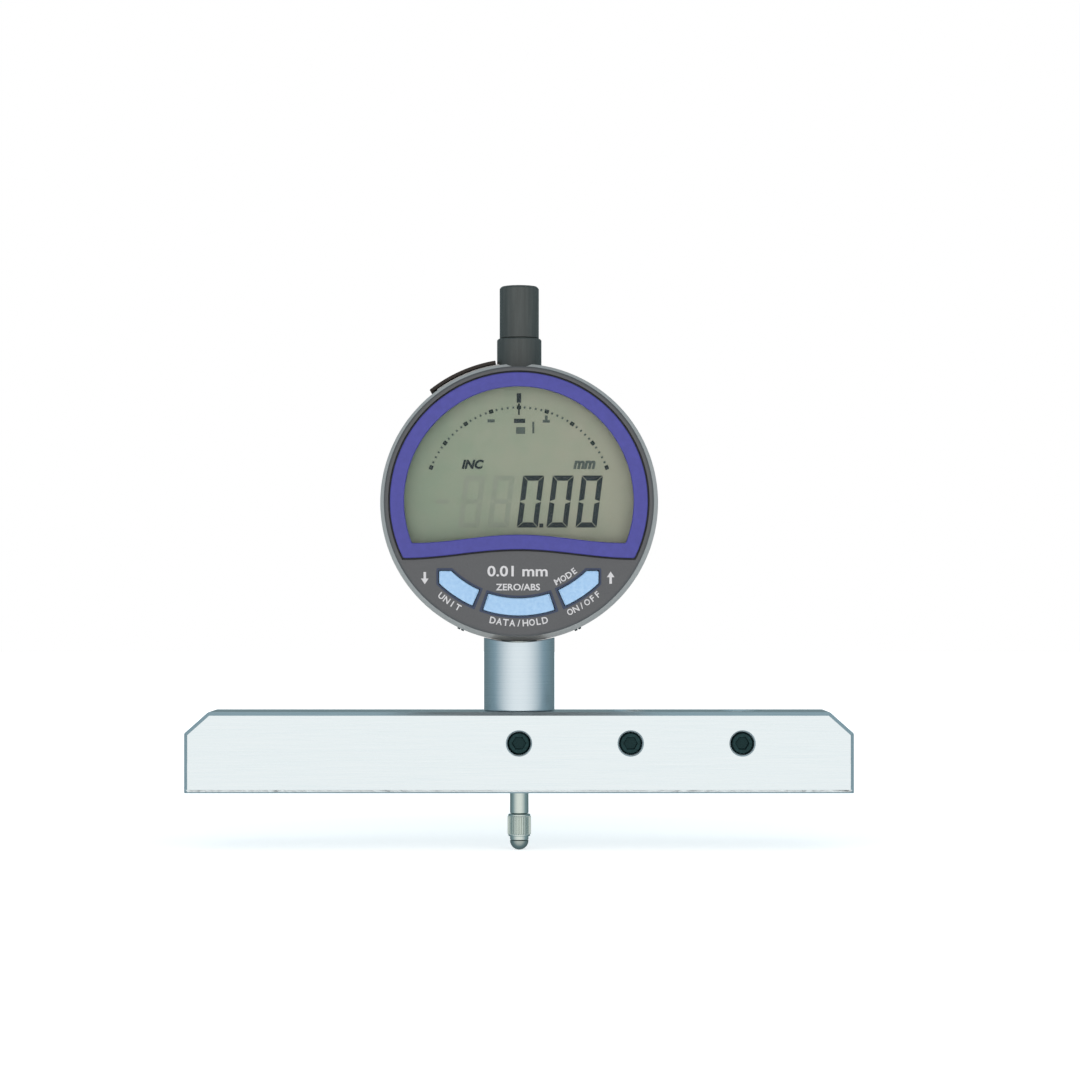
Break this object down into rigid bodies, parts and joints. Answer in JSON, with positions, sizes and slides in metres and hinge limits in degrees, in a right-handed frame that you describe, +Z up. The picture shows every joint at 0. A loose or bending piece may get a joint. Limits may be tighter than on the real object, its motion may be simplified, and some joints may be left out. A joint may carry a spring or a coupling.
{
  "type": "dial indicator",
  "caption": "Round digital dial indicator with a plunging spindle, clamped upright in a long flat base bar as a depth gauge.",
  "frame": {"origin": "lowest point of the contact tip on the spindle axis, spindle fully out", "axes": "+X along the base bar towards the spare stations, +Y to the back of the case, away from the reader, +Z up the spindle"},
  "size_m": [0.15, 0.0265, 0.1276],
  "materials": {
    "ground_steel": "fine ground",
    "hardened_steel": "ground",
    "satin_steel": "satin silver",
    "blackened_steel": "black oxide",
    "aluminium": "machined",
    "carbide": "polished",
    "brass": "machined",
    "black_plastic": "fine grain",
    "charcoal_plastic": "fine grain",
    "violet_plastic": "satin",
    "sky_rubber": "smooth",
    "white_plastic": "smooth",
    "black_rubber": "matte",
    "clear_acrylic": "clear",
    "scale_glass": "clear",
    "liquid_crystal": "grey green",
    "circuit_board": "solder mask"
  },
  "bodies": {
    "base": {"base_bar": "ground_steel", "stem_sleeve": "ground_steel", "sleeve_grub_screw": "blackened_steel", "stem": "hardened_steel", "stem_wiper": "black_rubber", "lower_bush": "brass", "stop_sleeve": "white_plastic", "upper_collar": "black_plastic", "upper_bush": "brass", "spindle_cap": "black_plastic", "return_spring": "hardened_steel", "inner_frame": "aluminium", "guide_rod": "hardened_steel", "sensor_board": "circuit_board", "rear_case": "satin_steel", "data_socket": "black_plastic", "case_screw_left": "blackened_steel", "case_screw_right": "blackened_steel", "friction_ring": "black_rubber", "retaining_ring": "hardened_steel", "back_gasket": "black_rubber", "back_cover": "satin_steel", "back_screw_1": "blackened_steel", "back_screw_2": "blackened_steel", "back_screw_3": "blackened_steel", "back_screw_4": "blackened_steel", "battery_holder": "black_plastic", "battery_cell": "hardened_steel", "battery_contact_minus": "brass", "battery_contact_plus": "brass", "battery_seal": "black_rubber"},
    "spindle": {"spindle_rod": "hardened_steel", "contact_holder": "hardened_steel", "contact_tip": "carbide", "carriage": "aluminium", "scale_strip": "scale_glass"},
    "display": {"display_housing": "charcoal_plastic", "window_frame": "violet_plastic", "window_lens": "clear_acrylic", "lcd_front_glass": "clear_acrylic", "lcd_rear_glass": "liquid_crystal", "lcd_reflector": "aluminium", "zebra_strip_lower": "black_rubber", "zebra_strip_upper": "black_rubber", "main_board": "circuit_board", "keypad_mat": "black_rubber", "display_back_ring": "charcoal_plastic"},
    "button_left": {"button_left": "sky_rubber"},
    "button_middle": {"button_middle": "sky_rubber"},
    "button_right": {"button_right": "sky_rubber"},
    "port_cover": {"port_cover": "black_rubber"},
    "battery_cap": {"battery_cap": "black_plastic"},
    "clamp_screw_centre": {"clamp_screw_centre": "blackened_steel"},
    "clamp_screw_inner": {"clamp_screw_inner": "blackened_steel"},
    "clamp_screw_outer": {"clamp_screw_outer": "blackened_steel"}
  },
  "joints": [
    {"name": "spindle_travel", "type": "slide", "parent": "base", "child": "spindle", "axis": [0, 0, 1], "range_m": [0, 0.0127], "stiffness_N_per_m": 25, "springref_m": -0.03, "deforming": ["return_spring"]},
    {"name": "display_turn", "type": "hinge", "parent": "base", "child": "display", "pos_m": [0, 0, 0.07855], "axis": [0, -1, 0], "range_deg": [-165, 165]},
    {"name": "button_left_press", "type": "slide", "parent": "display", "child": "button_left", "axis": [0, 1, 0], "range_m": [0, 0.0006], "stiffness_N_per_m": 900, "springref_m": -0.0005},
    {"name": "button_middle_press", "type": "slide", "parent": "display", "child": "button_middle", "axis": [0, 1, 0], "range_m": [0, 0.0006], "stiffness_N_per_m": 900, "springref_m": -0.0005},
    {"name": "button_right_press", "type": "slide", "parent": "display", "child": "button_right", "axis": [0, 1, 0], "range_m": [0, 0.0006], "stiffness_N_per_m": 900, "springref_m": -0.0005},
    {"name": "port_cover_lift", "type": "hinge", "parent": "base", "child": "port_cover", "pos_m": [-0.00531, 0.002, 0.11028], "axis": [0, 1, 0], "range_deg": [0, 70]},
    {"name": "battery_cap_turn", "type": "hinge", "parent": "base", "child": "battery_cap", "pos_m": [0, 0.0128, 0.06635], "axis": [0, 1, 0], "range_deg": [0, 60]},
    {"name": "clamp_screw_centre_turn", "type": "hinge", "parent": "base", "child": "clamp_screw_centre", "pos_m": [0, -0.007, 0.0245], "axis": [0, 1, 0], "range_deg": [-180, 180]},
    {"name": "clamp_screw_inner_turn", "type": "hinge", "parent": "base", "child": "clamp_screw_inner", "pos_m": [0.025, -0.007, 0.0245], "axis": [0, 1, 0], "range_deg": [-180, 180]},
    {"name": "clamp_screw_outer_turn", "type": "hinge", "parent": "base", "child": "clamp_screw_outer", "pos_m": [0.05, -0.007, 0.0245], "axis": [0, 1, 0], "range_deg": [-180, 180]}
  ]
}
